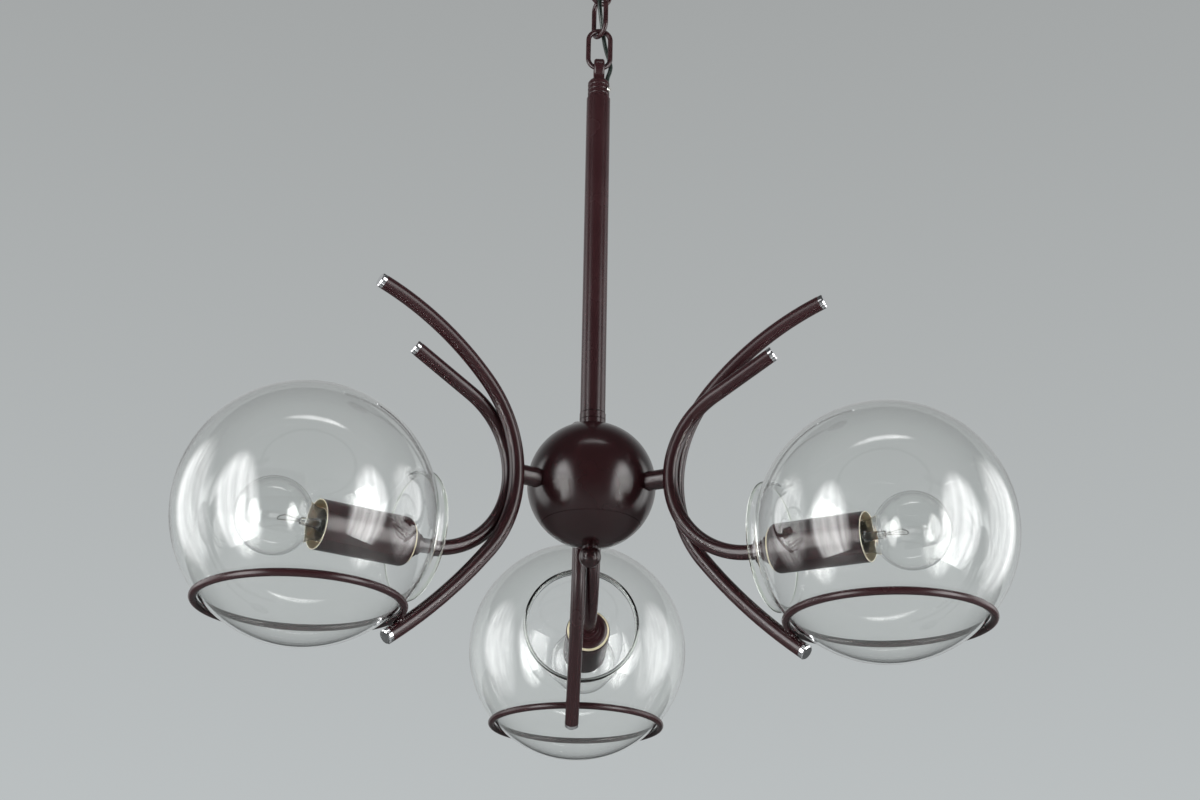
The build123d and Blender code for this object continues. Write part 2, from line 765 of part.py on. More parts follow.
for number, azimuth in enumerate(arm_azimuths, start=1):
    lamp_plane = axis_plane(azimuth, -tube_offset, lamp_height)
    lamp_axis = run_axis(lamp_plane)

    with BuildPart() as bulb_tip:
        with BuildSketch(lamp_plane):
            with BuildLine():
                tip_dome = ThreePointArc(
                    (bulb_tip_reach, 0), (bulb_tip_reach + 0.4, 3.0), (bulb_tip_reach + 1.2, 4.6)
                )
                Polyline(
                    tip_dome @ 1,
                    (base_back - 0.1, base_radius - base_taper),
                    (base_back - 0.1, 0),
                    (bulb_tip_reach, 0),
                )
            make_face()
        revolve(axis=lamp_axis)
    save(bulb_tip, f"bulb_tip_{number}")

    with BuildPart() as bulb_base:
        with BuildSketch(lamp_plane):
            with BuildLine():
                Polyline(
                    (base_back, base_radius - base_taper),
                    (base_back + 1.6, base_radius),
                    (base_front, base_radius),
                    (base_front, base_radius - base_wall),
                    (base_back + 1.8, base_radius - base_wall),
                    (base_back + 0.4, base_radius - base_taper),
                    close=True,
                )
            make_face()
        revolve(axis=lamp_axis)
    save(bulb_base, f"bulb_base_{number}")

    with BuildPart() as bulb_glass_envelope:
        with BuildSketch(lamp_plane):
            with BuildLine():
                crown = CenterArc((bulb_reach, 0), bulb_radius, 0, crown_angle)
                neck = Spline(crown @ 1, (bulb_neck_front, bulb_neck_radius), tangents=(crown % 1, (-1, 0)))
                tail = Line(neck @ 1, (bulb_neck_back, bulb_neck_radius))
                inner_tail = Line(
                    (bulb_neck_back, bulb_neck_radius - bulb_glass),
                    (bulb_neck_front, bulb_neck_radius - bulb_glass),
                )
                inner_crown = CenterArc((bulb_reach, 0), bulb_radius - bulb_glass, 0, crown_angle)
                Spline(inner_tail @ 1, inner_crown @ 1, tangents=((1, 0), (inner_crown % 1) * -1))
                Line(tail @ 1, inner_tail @ 0)
                Line(inner_crown @ 0, crown @ 0)
            make_face()
        revolve(axis=lamp_axis)
    save(bulb_glass_envelope, f"bulb_glass_{number}")

    lead_start = lamp_plane.from_local_coords(Vector(stem_tip - 2.0, 0, 0))
    with BuildPart() as bulb_mount:
        with BuildSketch(lamp_plane):
            with BuildLine():
                flare = Spline(
                    (bulb_neck_back + 0.5, bulb_neck_radius - bulb_glass - 0.1),
                    (bulb_neck_back + 9.0, 3.6),
                    (stem_tip - 5.0, 3.0),
                    tangents=((0.3, -1), (1, 0)),
                )
                Polyline(
                    flare @ 1, (stem_tip, 2.0), (stem_tip, 0), (bulb_neck_back + 0.5, 0), flare @ 0
                )
            make_face()
        revolve(axis=lamp_axis)
        for side in (-lead_spread, lead_spread):
            lead_end = lamp_plane.from_local_coords(Vector(filament_reach, 0, side))
            with BuildLine() as lead:
                Line(lead_start, lead_end)
            with BuildSketch(Plane(origin=lead_start, z_dir=lead_end - lead_start)):
                Circle(0.35)
            sweep(path=lead.wires()[0])
        filament_ends = [
            lamp_plane.from_local_coords(Vector(filament_reach - 0.6, 0, side))
            for side in (-lead_spread, lead_spread)
        ]
        filament_top = lamp_plane.from_local_coords(Vector(filament_reach + 3.4, 0, 0))
        with BuildLine() as filament:
            ThreePointArc(filament_ends[0], filament_top, filament_ends[1])
        with BuildSketch(Plane(origin=filament.line @ 0, z_dir=filament.line % 0)):
            Circle(0.5)
        sweep(path=filament.wires()[0])
    save(bulb_mount, f"bulb_mount_{number}")

# ---------------------------------------------------------------- cord and wiring
# Points are x, y and height over the hub.  Every span crosses one joint of the chain and ends
# half way along a link, where the next span takes over in the same direction.
cord_routes = (
    ((2.2, 8.3, 530.0), (2.2, 8.3, 512.0), (2.0, 7.4, 500.0), (-0.1, -0.35, 483.15)),
    ((-0.1, -0.35, 483.15), (-2.2, -8.1, 466.3), (0.8, -0.75, 449.35)),
    ((0.8, -0.75, 449.35), (3.8, 6.6, 432.4), (6.2, 7.4, 419.0), (8.6, 6.6, 411.0)),
    ((8.6, 6.6, 411.0), (11.0, 5.8, 403.0), (9.9, 2.6, 393.5), (7.1, 0.0, 385.0), (7.1, 0.0, 375.5)),
)


def bend_radii(points):
    """Radius of each corner: as large as the two runs that meet there allow."""
    radii = []
    for before, corner, after in zip(points, points[1:], points[2:]):
        turn = (corner - before).get_angle(after - corner)
        shorter = min((corner - before).length, (after - corner).length)
        radii.append(0.45 * shorter / math.tan(math.radians(turn / 2)))
    return radii


for number, route in enumerate(cord_routes, start=1):
    points = [Vector(x, y, hub_z + height) for x, y, height in route]
    radii = bend_radii(points)
    with BuildPart() as cord:
        with BuildLine() as cord_line:
            FilletPolyline(*points, radius=radii)
        cord_wire = cord_line.wires()[0]
        with BuildSketch(Plane(origin=points[0], z_dir=points[1] - points[0])):
            Circle(cord_radius)
        sweep(path=cord_wire)
    print("cord", number, "length", round(cord_wire.length, 1), "radii", [round(r, 1) for r in radii])
    save(cord, f"cord_{number}")

with BuildPart() as internal_wiring:
    lead_route = (
        (cord_entry_reach, 0.0, 375.5),
        (cord_entry_reach, 0.0, 335.0),
        (0.0, 0.0, 270.0),
        (0.0, 0.0, wire_nut_height),
        (wire_nut_reach, 0.0, wire_nut_height),
    )
    lead_points = [Vector(x, y, hub_z + height) for x, y, height in lead_route]
    with BuildLine() as lead_line:
        FilletPolyline(*lead_points, radius=[200.0, 200.0, 8.0])
    with BuildSketch(Plane(origin=lead_points[0], z_dir=(0, 0, -1))):
        Circle(cord_radius)
    sweep(path=lead_line.wires()[0])
    for azimuth in arm_azimuths:
        bow_centre = tube_reach + lamp_bow_radius
        bow_points = [
            turned_point(
                azimuth,
                bow_centre - lamp_bow_radius * math.cos(math.radians(angle)),
                -tube_offset,
                arm_height - lamp_bow_radius * math.sin(math.radians(angle)),
            )
            for angle in (30.0, 55.0, 80.0)
        ]
        wire_points = [
            turned_point(azimuth, 14.0, 0.0, 22.0),
            turned_point(azimuth, 26.0, 0.0, stub_height),
            turned_point(azimuth, tube_reach - 1.5, wire_side, stub_height),
            turned_point(azimuth, tube_reach + 0.6, wire_side - 1.0, stub_height - 11.0),
            *bow_points,
            turned_point(azimuth, insulator_back + 12.0, -tube_offset, lamp_height),
        ]
        with BuildLine() as wire_line:
            FilletPolyline(*wire_points, radius=bend_radii(wire_points))
        with BuildSketch(Plane(origin=wire_points[0], z_dir=wire_points[1] - wire_points[0])):
            Circle(wire_radius)
        sweep(path=wire_line.wires()[0])
save(internal_wiring, "internal_wiring")
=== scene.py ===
import json
import math

import bpy
from mathutils import Matrix, Vector


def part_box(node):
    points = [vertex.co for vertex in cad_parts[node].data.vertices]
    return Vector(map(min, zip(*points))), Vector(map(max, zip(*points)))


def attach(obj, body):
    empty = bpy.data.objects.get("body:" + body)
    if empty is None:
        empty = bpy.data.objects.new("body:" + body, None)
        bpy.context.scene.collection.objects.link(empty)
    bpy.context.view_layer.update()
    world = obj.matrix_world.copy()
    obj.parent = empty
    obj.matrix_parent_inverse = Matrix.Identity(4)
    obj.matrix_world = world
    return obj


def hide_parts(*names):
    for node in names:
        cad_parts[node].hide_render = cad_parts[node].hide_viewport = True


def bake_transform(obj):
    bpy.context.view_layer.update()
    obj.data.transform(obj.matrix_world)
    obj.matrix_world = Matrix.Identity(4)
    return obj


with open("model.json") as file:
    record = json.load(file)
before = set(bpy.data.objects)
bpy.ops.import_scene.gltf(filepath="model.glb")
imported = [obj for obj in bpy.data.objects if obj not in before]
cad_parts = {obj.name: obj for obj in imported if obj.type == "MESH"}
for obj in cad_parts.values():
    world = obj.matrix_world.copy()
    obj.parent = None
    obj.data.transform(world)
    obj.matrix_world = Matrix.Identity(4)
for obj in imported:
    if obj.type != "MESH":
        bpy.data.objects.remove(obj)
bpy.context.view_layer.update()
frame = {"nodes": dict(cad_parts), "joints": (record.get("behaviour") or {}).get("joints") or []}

cad = frame["nodes"]
joints = {joint["name"]: joint for joint in frame["joints"]}


# ------------------------------------------------------------ ceiling fitting
# A steel strap screws to the ceiling box and carries a threaded tube.  The tube holds a turned
# loop, and a knurled ring nut on the loop keeps the spun canopy up against the ceiling.
def coating(name, deep, light, smooth, worn, cloud=40.0, grain=1500.0, dent=0.00002, metal=0.0):
    """Paint or plating: cloudy colour, roughness that drifts from smooth to worn, and a fine grain."""
    material = bpy.data.materials.new(name)
    material.use_nodes = True
    nodes, links = material.node_tree.nodes, material.node_tree.links
    shader = nodes["Principled BSDF"]
    shader.inputs["Metallic"].default_value = metal
    place = nodes.new("ShaderNodeTexCoord")
    clouds = nodes.new("ShaderNodeTexNoise")
    clouds.inputs["Scale"].default_value = cloud
    clouds.inputs["Detail"].default_value = 6.0
    links.new(place.outputs["Object"], clouds.inputs["Vector"])
    tint = nodes.new("ShaderNodeValToRGB")
    tint.color_ramp.elements[0].position = 0.3
    tint.color_ramp.elements[0].color = (*deep, 1.0)
    tint.color_ramp.elements[1].position = 0.7
    tint.color_ramp.elements[1].color = (*light, 1.0)
    links.new(clouds.outputs["Fac"], tint.inputs["Fac"])
    links.new(tint.outputs["Color"], shader.inputs["Base Color"])
    rubbed = nodes.new("ShaderNodeMapRange")
    rubbed.inputs["From Min"].default_value = 0.3
    rubbed.inputs["From Max"].default_value = 0.7
    rubbed.inputs["To Min"].default_value = smooth
    rubbed.inputs["To Max"].default_value = worn
    links.new(clouds.outputs["Fac"], rubbed.inputs["Value"])
    links.new(rubbed.outputs["Result"], shader.inputs["Roughness"])
    pores = nodes.new("ShaderNodeTexNoise")
    pores.inputs["Scale"].default_value = grain
    pores.inputs["Detail"].default_value = 3.0
    links.new(place.outputs["Object"], pores.inputs["Vector"])
    bump = nodes.new("ShaderNodeBump")
    bump.inputs["Strength"].default_value = 0.5
    bump.inputs["Distance"].default_value = dent
    links.new(pores.outputs["Fac"], bump.inputs["Height"])
    links.new(bump.outputs["Normal"], shader.inputs["Normal"])
    return material


def cover(material, *names):
    """Gives CAD nodes their finish."""
    for name in names:
        cad[name].data.materials.clear()
        cad[name].data.materials.append(material)


hub_enamel = coating(
    "hub_enamel", (0.022, 0.0062, 0.0074), (0.028, 0.0084, 0.0096), 0.18, 0.23, cloud=18.0,
    grain=700.0, dent=0.0000008
)
zinc_plate = coating(
    "zinc_plate", (0.50, 0.50, 0.47), (0.66, 0.65, 0.61), 0.28, 0.42, cloud=120.0, metal=1.0
)
cover(hub_enamel, "canopy", "canopy_loop", "loop_collar")
cover(zinc_plate, "crossbar", "canopy_nipple")


# ------------------------------------------------------------ chain
# Three oval links of round wire, bent, butt-welded on one straight side and painted after that.
chain_enamel = coating(
    "chain_enamel", (0.022, 0.0070, 0.0085), (0.038, 0.0135, 0.0155), 0.22, 0.34, cloud=160.0,
    grain=700.0, dent=0.000002
)
cover(chain_enamel, "chain_link_1", "chain_link_2", "chain_link_3")


# ------------------------------------------------------------ cord
# A round black two-core lamp cord threads down through the links and enters the stem's loop.
# It crosses every joint of the chain once, so that it is four spans laid end to end.  A span
# names its two bodies, its length, where its bend starts and ends, and its route in millimetres;
# every height counts from the middle of the ball hub.
def pvc(name, deep, light):
    """Soft glossy plastic skin with the faint ripple of the cores under it."""
    material = coating(name, deep, light, 0.28, 0.40, cloud=90.0, grain=420.0, dent=0.00008)
    material.node_tree.nodes["Principled BSDF"].inputs["IOR"].default_value = 1.53
    return material


cord_skin = pvc("cord_skin", (0.012, 0.018, 0.015), (0.022, 0.034, 0.028))
cord_diameter = 0.0038
hub_radius = 0.053
hub_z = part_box("hub_cap")[0][2] + hub_radius
cord_spans = (
    ("ceiling", "link_3", 0.0486, 0.504, 0.490,
     ((2.2, 8.3, 530.0), (2.2, 8.3, 512.0), (2.0, 7.4, 500.0), (-0.1, -0.35, 483.15))),
    ("link_3", "link_2", 0.0363, 0.472, 0.456,
     ((-0.1, -0.35, 483.15), (-2.2, -8.1, 466.3), (0.8, -0.75, 449.35))),
    ("link_2", "link_1", 0.0406, 0.438, 0.422,
     ((0.8, -0.75, 449.35), (3.8, 6.6, 432.4), (6.2, 7.4, 419.0), (8.6, 6.6, 411.0))),
    ("link_1", "fixture", 0.0370, 0.402, 0.388,
     ((8.6, 6.6, 411.0), (11.0, 5.8, 403.0), (9.9, 2.6, 393.5), (7.1, 0.0, 385.0), (7.1, 0.0, 375.5))),
)
for span, (upper, lower, length, bend_top, bend_end, route) in enumerate(cord_spans, start=1):
    line = bpy.data.curves.new(f"supply_cord_{span}", "CURVE")
    line.dimensions = "3D"
    line.resolution_u = 16
    spline = line.splines.new("NURBS")
    spline.points.add(len(route) - 1)
    for point, (x, y, height) in zip(spline.points, route):
        point.co = (x / 1000, y / 1000, hub_z + height / 1000, 1.0)
    spline.order_u = 3
    spline.use_endpoint_u = True
    cord = bpy.data.objects.new(f"supply_cord_{span}", line)
    bpy.context.scene.collection.objects.link(cord)
    bpy.context.view_layer.update()
    centre_line = bpy.data.meshes.new_from_object(cord)
    line.bevel_depth = cord_diameter / 2
    line.bevel_resolution = 8
    line.use_fill_caps = True
    bpy.ops.object.select_all(action="DESELECT")
    cord.select_set(True)
    bpy.context.view_layer.objects.active = cord
    bpy.ops.object.convert(target="MESH")
    cord = bpy.context.active_object
    cord.data.materials.append(cord_skin)
    bpy.ops.object.shade_smooth_by_angle(angle=math.radians(40))
    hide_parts(f"cord_{span}")
    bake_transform(cord)


# ------------------------------------------------------------ stem
# A straight steel tube painted dark brown.  A turned plug with three grooves and an eye closes
# its top, held by one bright set screw, and a short sleeve carries it on the ball hub.
tube_enamel = coating(
    "tube_enamel", (0.026, 0.0080, 0.0096), (0.033, 0.0108, 0.0126), 0.23, 0.29, cloud=18.0,
    grain=700.0, dent=0.0000008
)
cover(tube_enamel, "stem", "stem_collar", "stem_loop")
cover(zinc_plate, "loop_screw", "hub_spindle")


# ------------------------------------------------------------ ball hub
# Two spun steel shells make the ball.  The lower cap is loose and the ball nut under it holds it.
cover(hub_enamel, "hub_shell", "hub_cap", "finial")
connector_plastic = coating(
    "connector_plastic", (0.62, 0.42, 0.08), (0.74, 0.52, 0.13), 0.38, 0.50, grain=2500.0
)
cover(connector_plastic, "wire_connectors")
wire_skin = pvc("wire_skin", (0.020, 0.020, 0.022), (0.036, 0.036, 0.038))
cover(wire_skin, "internal_wiring")


# ------------------------------------------------------------ arms
# Each arm is two bent steel tubes side by side on a short stub.  Their open ends are closed with
# polished chromed plugs, and the long one carries the brazed wire ring of the globe.
arm_numbers = (1, 2, 3)
for arm in arm_numbers:
    cover(tube_enamel, f"long_tube_{arm}", f"lamp_tube_{arm}", f"globe_ring_{arm}")
cover(tube_enamel, "arm_stubs", "cup_nuts")
polished_chrome = coating(
    "polished_chrome", (0.70, 0.70, 0.72), (0.82, 0.82, 0.84), 0.05, 0.11, cloud=220.0,
    grain=2600.0, dent=0.00001, metal=1.0
)
cover(polished_chrome, "end_caps")


# ------------------------------------------------------------ lamp-holders
# A spun steel cover, enamelled outside and bare brass inside, hides a porcelain holder with a
# rolled screw shell.  Its bare cut edge is coloured far lighter than the brass, a painted highlight
# along the rim.  Stations along an arm count from the bulb's centre; the numbers that bulb_reach
# is taken from are distances from the stem's axis.
def turned(name, stations, around=96):
    """A shape turned about the x axis from (x, radius) stations, first to last."""
    bpy.ops.object.select_all(action="DESELECT")
    first_x, first_radius = stations[0]
    bpy.ops.mesh.primitive_circle_add(
        vertices=around, radius=first_radius, location=(first_x, 0, 0), rotation=(0, math.pi / 2, 0)
    )
    blank = bpy.context.active_object
    blank.name = name
    bpy.ops.object.transform_apply(location=True, rotation=True, scale=True)
    bpy.ops.object.mode_set(mode="EDIT")
    bpy.ops.mesh.select_all(action="SELECT")
    for (x, radius), (next_x, next_radius) in zip(stations, stations[1:]):
        bpy.ops.mesh.extrude_region_move(TRANSFORM_OT_translate={"value": (next_x - x, 0, 0)})
        swell = next_radius / radius
        bpy.ops.transform.resize(value=(1, swell, swell), center_override=(next_x, 0, 0))
    bpy.ops.mesh.select_all(action="SELECT")
    bpy.ops.mesh.remove_doubles(threshold=0.000008)
    bpy.ops.mesh.normals_make_consistent(inside=False)
    bpy.ops.object.mode_set(mode="OBJECT")
    bpy.ops.object.shade_smooth_by_angle(angle=math.radians(32))
    return blank


def round_off(centre, radius, first_angle, last_angle, steps):
    """Stations along an arc of the outline; angles in degrees from the x axis."""
    return [
        (
            centre[0] + radius * math.cos(math.radians(angle)),
            centre[1] + radius * math.sin(math.radians(angle)),
        )
        for angle in (
            first_angle + (last_angle - first_angle) * step / steps for step in range(steps + 1)
        )
    ]


def set_on_arm(pattern, name, arm, joint_name):
    """A copy of a pattern, with its own mesh, carried to a joint's point and turned along its arm."""
    direction = Vector(joints[f"bulb_{arm}_turn"]["axis"])
    turn = Matrix.Rotation(math.atan2(direction.y, direction.x), 4, "Z")
    mesh = pattern.data.copy()
    mesh.transform(Matrix.Translation(Vector(joints[joint_name]["pos_m"])) @ turn)
    piece = bpy.data.objects.new(name, mesh)
    bpy.context.scene.collection.objects.link(piece)
    return piece


def paint_faces(piece, material, chosen):
    """Gives the faces that pass the test their own finish."""
    piece.data.materials.append(material)
    slot = len(piece.data.materials) - 1
    for face in piece.data.polygons:
        if chosen(face):
            face.material_index = slot


def radius_of(face):
    return math.hypot(face.center.y, face.center.z)


bulb_reach = 0.2745
cup_back = 0.161 - bulb_reach
cup_mouth = 0.240 - bulb_reach
cup_radius = 0.0195
cup_wall = 0.0010
cup_shoulder = 0.0065
tube_hole = 0.00605
cup_pattern = turned("cup_pattern", (
    [(cup_back, tube_hole)]
    + round_off((cup_back + cup_shoulder, cup_radius - cup_shoulder), cup_shoulder, 180, 90, 12)
    + [(cup_back + 0.030, cup_radius), (cup_mouth - 0.0012, cup_radius)]
    + round_off((cup_mouth - 0.0005, cup_radius - cup_wall / 2), cup_wall / 2, 90, -90, 8)
    + [(cup_mouth - 0.012, cup_radius - cup_wall), (cup_back + 0.030, cup_radius - cup_wall)]
    + round_off((cup_back + cup_shoulder, cup_radius - cup_shoulder), cup_shoulder - cup_wall, 90, 180, 10)
    + [(cup_back + cup_wall, tube_hole), (cup_back, tube_hole)]
), around=128)
cup_pattern.data.materials.append(tube_enamel)
bare_brass = coating(
    "bare_brass", (0.64, 0.57, 0.38), (0.78, 0.71, 0.50), 0.45, 0.58, cloud=140.0, grain=1800.0,
    metal=0.15
)
# Painted highlight: the rim faces get a near-white cream, lighter than the bare brass inside, standing in
# for light caught on the edge.
bare_edge_highlight = coating(
    "bare_edge_highlight", (0.84, 0.76, 0.58), (0.93, 0.87, 0.72), 0.30, 0.42, cloud=300.0, metal=0.6
)
inner_skin = cup_radius - 0.0008
inner_start = cup_back + 0.0012
rim_highlight_start = cup_mouth - 0.00062
paint_faces(
    cup_pattern, bare_brass, lambda face: radius_of(face) < inner_skin and face.center.x > inner_start
)
# Painted highlight on the rim: faces past this station take the light edge colour.
paint_faces(cup_pattern, bare_edge_highlight, lambda face: face.center.x > rim_highlight_start)
for arm in arm_numbers:
    cup = set_on_arm(cup_pattern, f"lamp_cover_{arm}", arm, f"bulb_{arm}_turn")
    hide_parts(f"lamp_cup_{arm}")
    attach(cup, "fixture")
bpy.data.objects.remove(cup_pattern)

porcelain = coating(
    "porcelain", (0.70, 0.66, 0.54), (0.82, 0.79, 0.68), 0.16, 0.26, cloud=60.0, grain=800.0
)
for arm in arm_numbers:
    cover(porcelain, f"socket_body_{arm}")

thread_pitch = 0.003629


def roll_thread(piece, first, last, depth):
    """Presses a rolled right-hand thread into a thin wall between two stations."""
    for vertex in piece.data.vertices:
        x, y, z = vertex.co
        if first < x < last:
            run_in = min(1.0, (x - first) / thread_pitch, (last - x) / thread_pitch)
            turn = math.atan2(z, y) / (2 * math.pi)
            wave = math.cos(2 * math.pi * (x / thread_pitch + turn))
            shrink = 1.0 - run_in * depth * (1.0 - wave) / 2 / math.hypot(y, z)
            vertex.co = (x, y * shrink, z * shrink)


shell_radius = 0.01395
shell_wall = 0.0005
shell_back = 0.2090 - bulb_reach
shell_front = 0.2330 - bulb_reach
shell_rows = 52
shell_step = (shell_front - shell_back - 0.001) / shell_rows
shell_pattern = turned("shell_pattern", (
    [(shell_back, 0.0090), (shell_back, shell_radius - 0.0006), (shell_back + 0.0006, shell_radius)]
    + [(shell_back + 0.001 + row * shell_step, shell_radius) for row in range(shell_rows)]
    + [(shell_front, shell_radius), (shell_front, shell_radius - shell_wall)]
    + [
        (shell_front - 0.0004 - row * shell_step, shell_radius - shell_wall)
        for row in range(shell_rows)
    ]
    + [(shell_back + shell_wall, shell_radius - shell_wall), (shell_back + shell_wall, 0.0090)]
    + [(shell_back, 0.0090)]
), around=72)
roll_thread(shell_pattern, shell_back + 0.004, shell_front - 0.0006, -0.00028)
shell_copper = coating(
    "shell_copper", (0.66, 0.24, 0.09), (0.82, 0.36, 0.16), 0.32, 0.46, cloud=180.0, metal=0.5
)
shell_pattern.data.materials.append(shell_copper)
for arm in arm_numbers:
    shell = set_on_arm(shell_pattern, f"rolled_shell_{arm}", arm, f"bulb_{arm}_turn")
    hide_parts(f"screw_shell_{arm}")
    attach(shell, "fixture")
bpy.data.objects.remove(shell_pattern)
cover(shell_copper, "centre_contacts")


# ------------------------------------------------------------ bulbs
# Clear globe bulbs: a nickelled screw base with a rolled thread, a blown envelope, and inside it
# a pressed glass stem with two spread leads, two support wires and a coiled filament.
def clear_glass(name, tint, ripple, ripple_scale, ior=1.48):
    """Clear glass with the slow ripple that blowing leaves."""
    material = bpy.data.materials.new(name)
    material.use_nodes = True
    nodes, links = material.node_tree.nodes, material.node_tree.links
    shader = nodes["Principled BSDF"]
    shader.inputs["Transmission Weight"].default_value = 1.0
    shader.inputs["IOR"].default_value = ior
    place = nodes.new("ShaderNodeTexCoord")
    melt = nodes.new("ShaderNodeTexNoise")
    melt.inputs["Scale"].default_value = ripple_scale
    melt.inputs["Detail"].default_value = 1.0
    links.new(place.outputs["Object"], melt.inputs["Vector"])
    bump = nodes.new("ShaderNodeBump")
    bump.inputs["Strength"].default_value = 1.0
    bump.inputs["Distance"].default_value = ripple
    links.new(melt.outputs["Fac"], bump.inputs["Height"])
    links.new(bump.outputs["Normal"], shader.inputs["Normal"])
    shade = nodes.new("ShaderNodeValToRGB")
    shade.color_ramp.elements[0].color = (*tint, 1.0)
    shade.color_ramp.elements[1].color = (1.0, 1.0, 0.995, 1.0)
    links.new(melt.outputs["Fac"], shade.inputs["Fac"])
    links.new(shade.outputs["Color"], shader.inputs["Base Color"])
    dust = nodes.new("ShaderNodeMapRange")
    dust.inputs["To Min"].default_value = 0.0
    dust.inputs["To Max"].default_value = 0.02
    links.new(melt.outputs["Fac"], dust.inputs["Value"])
    links.new(dust.outputs["Result"], shader.inputs["Roughness"])
    return material


def eased(start, start_slope, end, end_slope, steps):
    """Stations of a smooth outline between two points with given slopes, both ends included."""
    stations = []
    for step in range(steps + 1):
        t = step / steps
        weights = (2 * t**3 - 3 * t**2 + 1, t**3 - 2 * t**2 + t, 3 * t**2 - 2 * t**3, t**3 - t**2)
        stations.append(tuple(
            weights[0] * a + weights[1] * b + weights[2] * c + weights[3] * d
            for a, b, c, d in zip(start, start_slope, end, end_slope)
        ))
    return stations


def crown(radius, last_angle, steps):
    """Stations of a ball from its pole on the x axis."""
    return [(radius, pole)] + round_off((0, 0), radius, last_angle / steps, last_angle, steps - 1)


pole = 0.000002
bulb_radius = 0.0300
bulb_wall = 0.0006
crown_angle = 138.0
base_radius = 0.01305
neck_radius = base_radius - 0.00045
neck_front = 0.2390 - bulb_reach
neck_back = 0.2260 - bulb_reach


def envelope(radius, neck):
    """One wall of the bulb from the crown's pole to the end of the neck."""
    ball = crown(radius, crown_angle, 40)
    lean = math.radians(crown_angle + 90)
    reach = 0.020
    slope = (reach * math.cos(lean), reach * math.sin(lean))
    return ball + eased(ball[-1], slope, (neck_front, neck), (-0.016, 0.0), 14)[1:]


bulb_pattern = turned("bulb_pattern", (
    envelope(bulb_radius - 0.00002, neck_radius)
    + [(neck_back, neck_radius), (neck_back, neck_radius - bulb_wall)]
    + envelope(bulb_radius - bulb_wall, neck_radius - bulb_wall)[::-1]
), around=112)
bulb_clear = clear_glass("bulb_clear", (0.985, 0.99, 0.99), 0.00012, 26.0)
bulb_pattern.data.materials.append(bulb_clear)

base_back = 0.2126 - bulb_reach
base_front = 0.2370 - bulb_reach
base_wall = 0.0004
base_rows = 50
base_thread_depth = 0.00032
base_step = (base_front - base_back - 0.0026) / base_rows
base_pattern = turned("base_pattern", (
    [(base_back, base_radius - 0.0024), (base_back + 0.0016, base_radius)]
    + [(base_back + 0.0018 + row * base_step, base_radius) for row in range(base_rows + 1)]
    + [(base_front - 0.0003, base_radius), (base_front, base_radius - 0.0002)]
    + [(base_front, base_radius - base_wall), (base_back + 0.0018, base_radius - base_wall)]
    + [(base_back + 0.0004, base_radius - 0.0024), (base_back, base_radius - 0.0024)]
), around=72)
for vertex in base_pattern.data.vertices:
    x, y, z = vertex.co
    reach = math.hypot(y, z)
    if reach > base_radius - 0.0001 and base_back + 0.002 < x < base_front - 0.004:
        wave = math.cos(2 * math.pi * (x / thread_pitch + math.atan2(z, y) / (2 * math.pi)))
        shrink = 1.0 - base_thread_depth * (1.0 - wave) / 2 / reach
        vertex.co = (x, y * shrink, z * shrink)
nickel = coating(
    "nickel", (0.60, 0.50, 0.38), (0.76, 0.66, 0.52), 0.26, 0.38, cloud=200.0, metal=0.85
)
base_pattern.data.materials.append(nickel)

stem_tip = 0.2540 - bulb_reach
flare_start = (neck_back + 0.0006, neck_radius - bulb_wall - 0.00015)
stem_pattern = turned("stem_pattern", (
    [(flare_start[0], pole), (flare_start[0], flare_start[1] - 0.0008), flare_start]
    + eased(flare_start, (0.004, -0.016), (stem_tip - 0.006, 0.0030), (0.016, 0.0), 16)[1:]
    + [(stem_tip - 0.003, 0.0031), (stem_tip - 0.001, 0.0026), (stem_tip, 0.0012)]
    + [(stem_tip + 0.0002, pole)]
), around=48)
stem_glass = clear_glass("stem_glass", (0.90, 0.95, 0.94), 0.00025, 160.0)
stem_pattern.data.materials.append(stem_glass)


def wire(name, route, radius):
    """A thin drawn wire through a few points, made a mesh."""
    line = bpy.data.curves.new(name, "CURVE")
    line.dimensions = "3D"
    line.bevel_depth = radius
    line.bevel_resolution = 3
    line.use_fill_caps = True
    spline = line.splines.new("NURBS")
    spline.points.add(len(route) - 1)
    for point, place in zip(spline.points, route):
        point.co = (*place, 1.0)
    spline.order_u = 3
    spline.use_endpoint_u = True
    piece = bpy.data.objects.new(name, line)
    bpy.context.scene.collection.objects.link(piece)
    bpy.ops.object.select_all(action="DESELECT")
    piece.select_set(True)
    bpy.context.view_layer.objects.active = piece
    bpy.ops.object.convert(target="MESH")
    return bpy.context.active_object


filament_reach = 0.2680 - bulb_reach
filament_half = 0.0070
filament_rise = 0.0026
lead_metal = coating("lead_metal", (0.34, 0.32, 0.30), (0.48, 0.46, 0.43), 0.26, 0.38, metal=1.0)
tungsten = coating("tungsten", (0.09, 0.09, 0.09), (0.16, 0.155, 0.15), 0.36, 0.50, metal=1.0)
lead_patterns = [
    wire("lead_left", (
        (stem_tip - 0.006, 0.0010, 0), (stem_tip + 0.001, 0.0016, 0),
        (filament_reach - 0.006, 0.0048, 0), (filament_reach, filament_half, 0)), 0.00030),
    wire("lead_right", (
        (stem_tip - 0.006, -0.0010, 0), (stem_tip + 0.001, -0.0016, 0),
        (filament_reach - 0.006, -0.0048, 0), (filament_reach, -filament_half, 0)), 0.00030),
]
for lead in lead_patterns:
    lead.data.materials.append(lead_metal)
support_patterns = [
    wire(f"support_{label}", (
        (stem_tip - 0.002, 0, lift * 0.0006), (stem_tip + 0.004, side * 0.4, lift * 0.0010),
        (filament_reach - 0.002, side, lift * 0.0007),
        (filament_reach + filament_rise * 0.85, side, 0.0)), 0.00013)
    for label, side, lift in (("a", 0.0026, 1.0), ("b", -0.0026, -1.0))
]
for support in support_patterns:
    support.data.materials.append(lead_metal)

